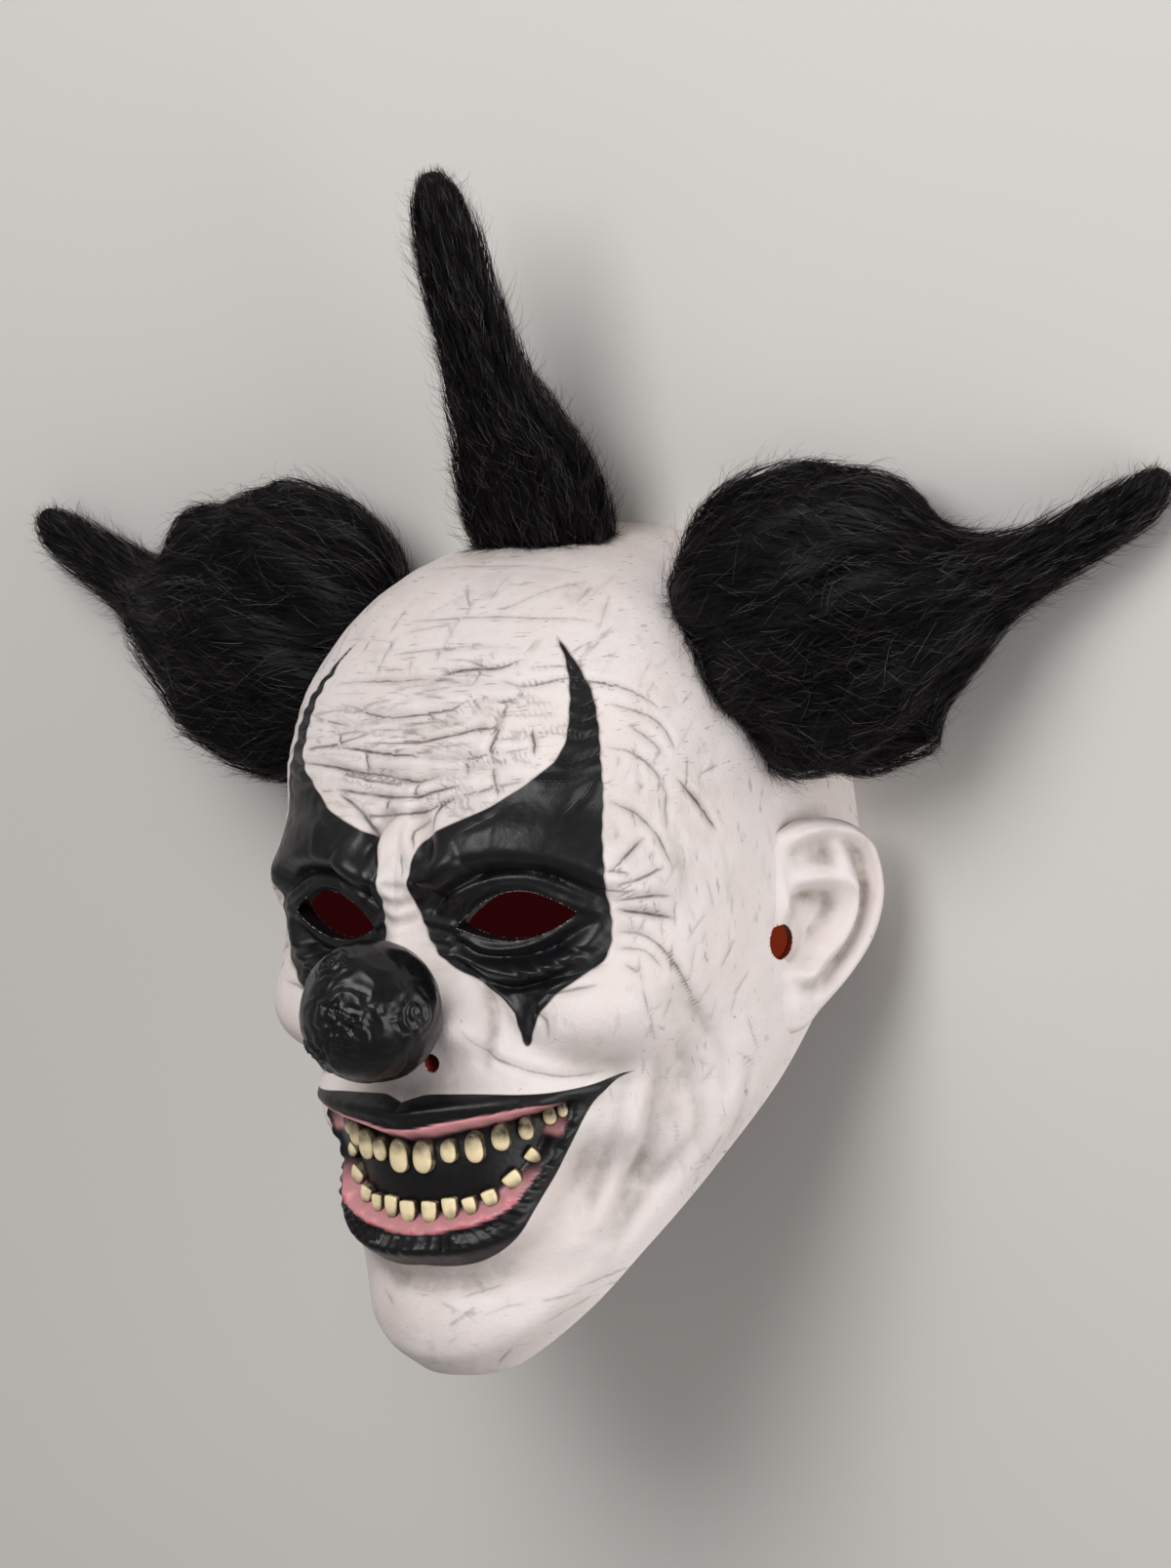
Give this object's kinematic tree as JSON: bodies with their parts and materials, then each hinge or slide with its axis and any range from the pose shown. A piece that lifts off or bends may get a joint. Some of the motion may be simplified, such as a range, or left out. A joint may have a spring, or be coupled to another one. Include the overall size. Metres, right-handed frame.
{
  "type": "clown mask",
  "caption": "Open-backed cast latex mask of a grinning clown, with a ball nose, ears, toothy open mouth and horn-shaped fur tufts.",
  "frame": {"origin": "on the ground plane under the middle of the whole mask as it lies face up, so the back rim is at z = 0", "axes": "+X towards the wearer's left, +Y towards the crown, +Z the way the face looks, which is up as the mask lies"},
  "size_m": [0.4192, 0.3624, 0.173],
  "materials": {
    "latex": "cast latex, painted off-white with grey wash, satin black paint on nose, lips and eye patches",
    "fur": "long black synthetic fur, combed to points"
  },
  "bodies": {
    "root": {"mask_shell": "latex", "hair_tuft_left": "fur", "hair_tuft_right": "fur", "hair_tuft_top": "fur"}
  },
  "joints": []
}
